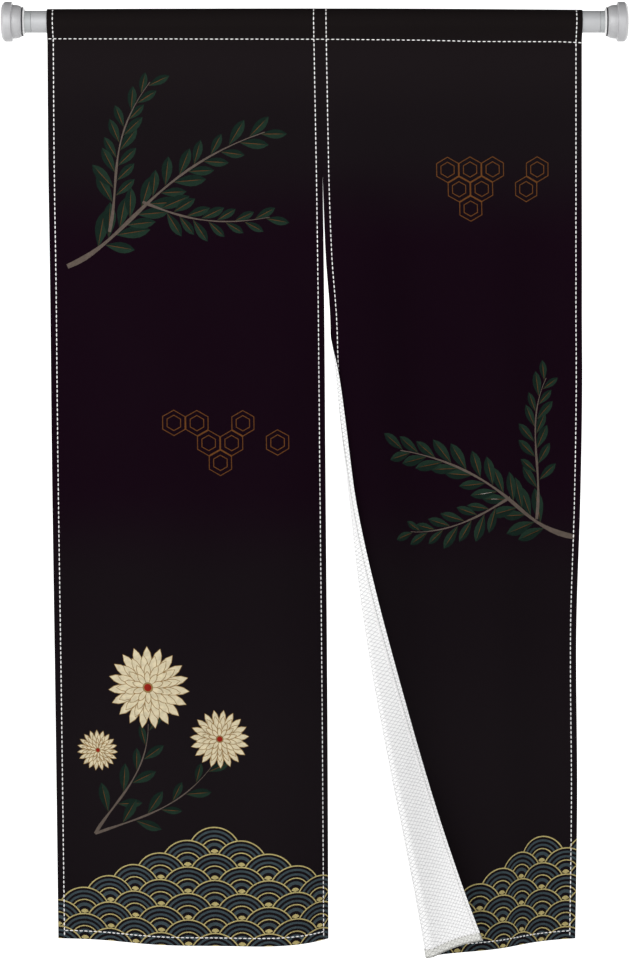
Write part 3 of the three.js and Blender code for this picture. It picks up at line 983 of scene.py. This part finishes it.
def sprigs(choice):
    """Stems with leaves to either side, each leaf in two greens."""
    shapes = []
    for sprig in SPRIGS:
        stem = []
        for t in np.linspace(0, 1, STEM["points"]):
            place, ahead = curve_point(sprig["stem"], t)
            side = np.array([-ahead[1], ahead[0]])
            knot = 1 + STEM["knot"] * math.sin(STEM["knots"] * t)
            stem.append((place, side * sprig["width"] * (1 - STEM["taper"] * t) * knot / 2))
        for k in range(sprig["leaves"]):
            t = STEM["bare"] + (1 - STEM["bare"]) * (k + 0.5) / sprig["leaves"]
            place, ahead = curve_point(sprig["stem"], t)
            angle = (LEAF["angle"] - LEAF["closing"] * t) * (1 if k % 2 else -1)
            turn = math.radians(angle + choice.uniform(-LEAF["angle_spread"], LEAF["angle_spread"]))
            direction = np.array([
                ahead[0] * math.cos(turn) - ahead[1] * math.sin(turn),
                ahead[0] * math.sin(turn) + ahead[1] * math.cos(turn),
            ])
            length = sprig["length"] * choice.uniform(*LEAF["lengths"]) * (1 - LEAF["shortening"] * t)
            width = 2 * LEAF["slimness"] * length
            whole = lens(place, direction, LEAF["foot"], length, width, LEAF["roundness"])
            far = length * VEIN["length"]
            vein = lens(place, direction, VEIN["foot"], far, VEIN["width"], VEIN["roundness"], steps=3)
            shapes.append(("leaf", whole))
            shapes.append(("leaf_light", whole[:len(whole) // 2 + 1]))
            shapes.append(("bronze", vein))
        left = [tuple(place + side) for place, side in stem]
        right = [tuple(place - side) for place, side in reversed(stem)]
        shapes.append(("bark", left + right))
    return shapes


def blossoms():
    """Many-petalled round blossoms with a red heart."""
    shapes = []
    for blossom in BLOSSOMS:
        place = np.array([blossom["x"], blossom["run"]], float)
        radius = blossom["radius"]
        for number, layer in enumerate(PETAL_LAYERS):
            reach = radius * layer["reach"]
            for k in range(layer["petals"]):
                angle = math.radians(blossom["turn"] * (number + 1) + 360 * k / layer["petals"])
                direction = np.array([math.cos(angle), math.sin(angle)])
                width = reach * layer["width"]
                whole = lens(place, direction, PETAL_FOOT["edge"] * reach, reach, width)
                tip = reach - PETAL_BORDER["tip"]
                face = lens(place, direction, PETAL_FOOT["face"] * reach, tip, width - PETAL_BORDER["sides"])
                shapes.append(("cream_edge", whole))
                shapes.append(("cream", face))
        last = 360 - 360 / HEART_SIDES
        for size, shade in HEART:
            shapes.append((shade, circle_part(*place, radius * size, 0, last, HEART_SIDES - 1)))
    return shapes


def print_on(panel):
    """The print's shapes that touch a panel, on its flat cloth, and the material slot of each."""
    outlines = []
    slots = []
    for shade, outline in PRINT:
        if panel["side"] < 0:
            outline = [(PRINT_WIDTH - x, run) for x, run in outline]
        moved = clipped([(x, run - RUN_TOP) for x, run in outline], panel["width"], DROP - RUN_TOP)
        if len(moved) > 2:
            outlines.append(moved)
            slots.append(PRINT_SLOTS[shade])
    return outlines, slots


def print_material(name, shade):
    """Ink on the cloth: one shade, faintly uneven, over the weave."""
    material, nodes, shader = start_material(f"print_{name}", roughness=0.85, specular=0.05)
    cloud = nodes.noise(nodes.cloth_place(), 120.0, 4.0)
    darker = tuple(v * PRINT_FADE for v in shade)
    nodes.join(nodes.mix(cloud, linear(*darker), linear(*shade)), shader.inputs["Base Color"])
    add_bump(nodes, shader, weave_height(nodes), distance=0.00012, strength=0.6)
    return material


PRINT = [*hexagons(), *sprigs(np.random.default_rng(7)), *blossoms(), *fans()]


# Stitching

STITCH = {
    "pitch": 7.5,
    "length": 6.2,
    "width": 1.9,
    "height": 0.4,
    "rings": 5,
    "sides": 6,
    "squareness": 4,  # how long the stitch keeps its full width, and how much of it is lost at its ends
    "thinning": 0.3,
}
# Distances of the rows of stitches from the cloth's edges
SEAM_LINES = {"outer": 9.5, "inner": 10.0, "bottom": 13.0, "top_margin": 2, "low_margin": 1, "corner": 4}
# The heading seam: distance under the rod's axis at some places along both panels
HEADING = ((0, 26.9), (437, 27.7), (600, 29.3), (690, 31.6), (820, 31.8), (857.7, 33.6))
HEADING_PITCH = 8.1
HEADING_END = 0.5
LINE_STEP = 5.0


def stitch_lines(panel):
    """The rows of top-stitching: pitch, and the line as a list of (across, run) on the flat cloth."""
    width = panel["width"]
    pitch = STITCH["pitch"]
    outer = SEAM_LINES["outer"]
    runs = np.arange(RUN_TOP + SEAM_LINES["top_margin"], DROP - SEAM_LINES["low_margin"], LINE_STEP)
    down_outer = [(outer, r) for r in runs]
    down_inner = [(width - SEAM_LINES["inner"], r) for r in runs]
    from_slit = [*np.arange(0, width, LINE_STEP), width - HEADING_END]
    heading = [(width - a, heading_run(panel, width - a)) for a in from_slit]
    low = np.arange(outer, width - SEAM_LINES["corner"], LINE_STEP)
    hem = [(a, float(bottom_run(panel, a)) - SEAM_LINES["bottom"]) for a in low]
    return [(pitch, down_outer), (pitch, down_inner), (HEADING_PITCH, heading), (pitch, hem)]


def heading_run(panel, across):
    """How far down the pocket's seam lies: a little lower towards the right."""
    place = across if panel["side"] > 0 else PRINT_WIDTH - across
    return float(np.interp(place, *zip(*HEADING)))


def one_stitch():
    """Points of a short flattened capsule, as lists of (along, side, high), and its faces."""
    rings, sides = STITCH["rings"], STITCH["sides"]
    t = np.linspace(-1, 1, rings + 2)[1:-1]
    swell = 1 - np.abs(np.linspace(-1, 1, rings)) ** STITCH["squareness"] * STITCH["thinning"]
    angles = np.linspace(0, 2 * np.pi, sides, endpoint=False)
    along = np.concatenate([[-1], np.repeat(t, sides), [1]]) * STITCH["length"] / 2
    side = np.concatenate([[0], np.outer(swell, np.cos(angles)).ravel(), [0]]) * STITCH["width"] / 2
    high = np.concatenate([[0], np.outer(swell, np.sin(angles)).ravel(), [0]]) * STITCH["height"]
    faces = []
    for j in range(sides):
        k = (j + 1) % sides
        faces.append((0, 1 + k, 1 + j))
        for i in range(rings - 1):
            here = 1 + i * sides
            after = here + sides
            faces.append((here + j, here + k, after + k, after + j))
        last = 1 + (rings - 1) * sides
        faces.append((last + j, last + k, 1 + rings * sides))
    return along, side, high, faces


def build_stitching(name, material):
    """Every stitch on both faces of a panel, as one joined mesh."""
    panel = PANELS[name]
    along, side, high, one = one_stitch()
    per = len(along)
    flats = []
    for pitch, line in stitch_lines(panel):
        line = np.array(line)
        lengths = run_along(line)

        def point_at(at):
            return np.array([np.interp(at, lengths, line[:, 0]), np.interp(at, lengths, line[:, 1])])

        for face, shift in ((1, 0.5), (-1, 1.0)):
            for at in np.arange(pitch * shift, lengths[-1] - STITCH["length"] / 2, pitch):
                a, r = point_at(at)
                ahead = point_at(at + 1) - point_at(at - 1)
                ahead /= np.hypot(*ahead)
                across = a + along * ahead[0] - side * ahead[1]
                flats.append((across, r + along * ahead[1] + side * ahead[0], face))
    across = np.concatenate([f[0] for f in flats])
    run = np.concatenate([f[1] for f in flats])
    face = np.repeat([f[2] for f in flats], per)
    lift = np.tile(high, len(flats))
    behind = back_proud(panel, across, run)
    proud = np.where(face > 0, THICKNESS / 2 + lift, behind - lift)
    vertices = hung_cloth(panel, across, run, proud)
    faces = []
    for n, (_, _, which) in enumerate(flats):
        flip = (which > 0) != (panel["side"] > 0)
        for f in one:
            corners = tuple(i + n * per for i in f)
            faces.append(corners[::-1] if flip else corners)
    piece = make_object(f"stitching_{name}", vertices, faces, [material])
    clean_mesh(piece)
    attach(piece, "root")
    return piece


# Everything along the rod


SHARP_ROUND = 0.5
CAP_ROUND = 1.8


def bar_profile(start, end):
    return rounded([(0, start), (ROD_RADIUS, start), (ROD_RADIUS, end), (0, end)], SHARP_ROUND)


def build_rod(materials):
    rod = bar_profile(SLEEVE_REACH["left"] + GAP, OVERALL - SLEEVE_REACH["right"] - GAP)
    lathe("rod_tube", rod, 0, 1, materials["rod"], "rod")
    for name, wall_x, inwards in (("left", 0, 1), ("right", OVERALL, -1)):
        sleeve = bar_profile(SLEEVE_SEAT + GAP, SLEEVE_REACH[name])
        lathe(f"end_sleeve_{name}", sleeve, wall_x, inwards, materials["sleeve"], f"sleeve_{name}")
        bore = ROD_RADIUS + GAP
        face = CAP["length"] + GAP
        ring = [
            (bore, face),
            (RING["radius"], face),
            (RING["radius"], face + RING["lip"]),
            (RING["nose"], face + RING["length"]),
            (bore, face + RING["length"]),
            (bore, face),
        ]
        ring = rounded(ring, SHARP_ROUND)
        # The ring's body is painted dark as the shadow in the gap at the cap's mouth.
        washer = lathe(f"end_ring_{name}", ring, wall_x, inwards, materials["ring"], f"ring_{name}")
        # Its nose is painted near white as a highlight on the rim of the cap's mouth.
        washer.data.materials.append(materials["nose"])
        nose_start = face + RING["lip"] + 0.3
        for polygon in washer.data.polygons:
            from_wall = abs(polygon.center.x / MM - wall_x)
            polygon.material_index = int(from_wall > nose_start)
        lathe(f"end_cap_{name}", cap_profile(), wall_x, inwards, materials["cap"], f"cap_{name}")


def cap_profile():
    """Half section of the stepped end cap, from its wall face's middle round to the bottom of its seat."""
    bore = ROD_RADIUS + GAP
    flange, collar, mouth = CAP["flange"], CAP["collar"], CAP["mouth"]
    outline = [
        (0, 0),
        (CAP["pad"], 0),
        (flange - CAP["dome_inset"], CAP["dome_inset_rise"]),
        (flange, CAP["dome"]),
        (flange, CAP["flange_length"]),
        (collar, CAP["flange_length"]),
        (collar, CAP["taper_start"]),
        (collar - CAP["taper_bulge"], (CAP["taper_start"] + CAP["length"]) / 2),
        (mouth, CAP["length"]),
        (bore, CAP["length"]),
        (bore, SLEEVE_SEAT),
        (0, SLEEVE_SEAT),
    ]
    return rounded(outline, CAP_ROUND)


# The stage

# The sky's brightness at each height of the view, from straight down at -1 to straight up at 1
SKY = ((-1.0, 0.9), (-0.4, 1.0), (0.2, 1.0), (0.5, 0.08), (1.0, 0.03))
SKY_STRENGTH = 1.35
FLOOR = {"x": (-3, 4), "y": (-4, 2.4), "z": -1.95, "glow": 0.35}
AIM = (0.5, 0, -0.6)
# The soft lights' places, sizes and powers
LIGHTS = {
    "key": {"place": (-1.2, -4.0, 0.6), "size": 3.2, "power": 74},
    "fill": {"place": (3.4, 2.6, 1.2), "size": 2.2, "power": 40},
}
CAMERA = {"place": (0.503, -5.0, -0.735), "sensor": 36, "lens": 116.9}


def build_stage():
    """A pale floor under the curtain, a bright horizon all round and two soft lights."""
    (left, right), (front, back) = FLOOR["x"], FLOOR["y"]
    corners = [(x, y, FLOOR["z"]) for x, y in ((left, front), (right, front), (right, back), (left, back))]
    floor = make_object("floor", corners, [(0, 1, 2, 3)], [floor_material()])
    world = bpy.data.worlds.new("studio")
    bpy.context.scene.world = world
    world.use_nodes = True
    nodes = Nodes(world.node_tree)
    upwards = nodes.split(nodes.add("ShaderNodeTexCoord").outputs["Generated"])[2]
    height = nodes.math("MULTIPLY_ADD", upwards, 0.5, 0.5)
    sky = nodes.ramp(height, [(0.5 + 0.5 * at, (shade, shade, shade, 1)) for at, shade in SKY])
    background = world.node_tree.nodes["Background"]
    background.inputs["Strength"].default_value = SKY_STRENGTH
    nodes.join(sky, background.inputs["Color"])
    for name, light in LIGHTS.items():
        data = bpy.data.lights.new(name, "AREA")
        data.size = light["size"]
        data.energy = light["power"]
        lamp = bpy.data.objects.new(name, data)
        bpy.context.scene.collection.objects.link(lamp)
        lamp.location = light["place"]
        lamp.rotation_euler = (Vector(AIM) - Vector(light["place"])).to_track_quat("-Z", "Y").to_euler()
    bpy.context.scene.view_settings.view_transform = "Standard"


def floor_material():
    material, nodes, shader = start_material("floor", roughness=0.8, specular=0.2)
    grain = nodes.noise(nodes.object_place(), 4.0, 3.0)
    colour = nodes.mix(grain, (0.86, 0.86, 0.86, 1), (0.9, 0.9, 0.89, 1))
    nodes.join(colour, shader.inputs["Base Color"])
    shader.inputs["Emission Color"].default_value = (1, 1, 1, 1)
    shader.inputs["Emission Strength"].default_value = FLOOR["glow"]
    return material


def build_camera():
    """Level with the middle of the curtain, five metres in front of it."""
    data = bpy.data.cameras.new("camera")
    data.sensor_width = CAMERA["sensor"]
    data.lens = CAMERA["lens"]
    camera = bpy.data.objects.new("camera", data)
    bpy.context.scene.collection.objects.link(camera)
    camera.location = CAMERA["place"]
    camera.rotation_euler = (math.radians(90), 0, 0)
    bpy.context.scene.camera = camera


build_camera()
build_stage()
build_rod({
    "rod": enamel_material("rod_enamel", (187, 188, 190), speckle=0.03, roughness=0.46, metallic=0.1),
    "sleeve": enamel_material("sleeve_plastic", (178, 181, 182), speckle=0.04, roughness=0.46, metallic=0.1),
    # The end rings' dark grey is painted shade: it stands for the shadow in the gap at each cap's mouth.
    "ring": enamel_material("ring_painted_gap_shade", (52, 52, 55), speckle=0.1, roughness=0.6),
    "cap": enamel_material("cap_plastic", (188, 188, 190), speckle=0.03, roughness=0.42, metallic=0.15),
    # The rings' near-white nose is a painted highlight on the rim of each cap's mouth.
    "nose": enamel_material("nose_painted_highlight", (240, 240, 240), speckle=0.02, roughness=0.4),
})
inks = [print_material(name, shade) for name, shade in PRINT_SHADES.items()]
cloth_materials = [ground_material(), *inks, back_material(), hem_material()]
thread = thread_material()
for name in PANELS:
    outlines, outline_slots = print_on(PANELS[name])
    cloth = build_panel(name, outlines, outline_slots, cloth_materials)
    stitching = build_stitching(name, thread)
